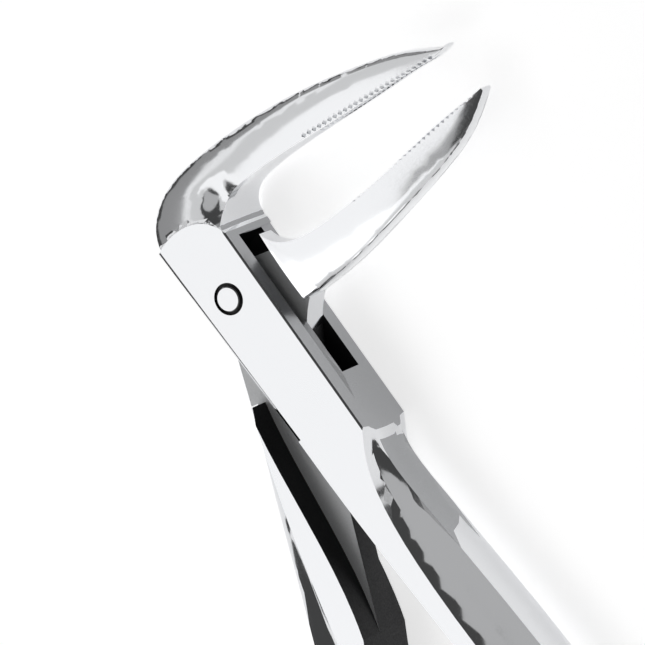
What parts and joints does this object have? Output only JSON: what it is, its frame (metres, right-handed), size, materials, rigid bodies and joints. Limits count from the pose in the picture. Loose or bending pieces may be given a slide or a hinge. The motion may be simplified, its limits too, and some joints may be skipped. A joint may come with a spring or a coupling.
{
  "type": "extraction forceps",
  "caption": "Dental root extraction forceps with long serrated beaks at a right angle to smooth handles, turning in a box joint.",
  "frame": {"origin": "on the hinge axis, in the plane of the back faces that the forceps lie on", "axes": "+Z along the hinge axis, out of the front face; -Y along the box and down the handles; +X towards the beak tips"},
  "size_m": [0.0892, 0.1535, 0.0102],
  "materials": {
    "lever_steel": "polished stainless steel with a fine satin grain",
    "pin_steel": "polished stainless steel"
  },
  "bodies": {
    "root": {"box_lever": "lever_steel", "joint_pin": "pin_steel"},
    "through": {"through_lever": "lever_steel"}
  },
  "joints": [
    {"name": "box_joint", "type": "hinge", "parent": "root", "child": "through", "pos_m": [0, 0, 0.005], "axis": [0, 0, 1], "range_deg": [-12, 8.2]}
  ]
}
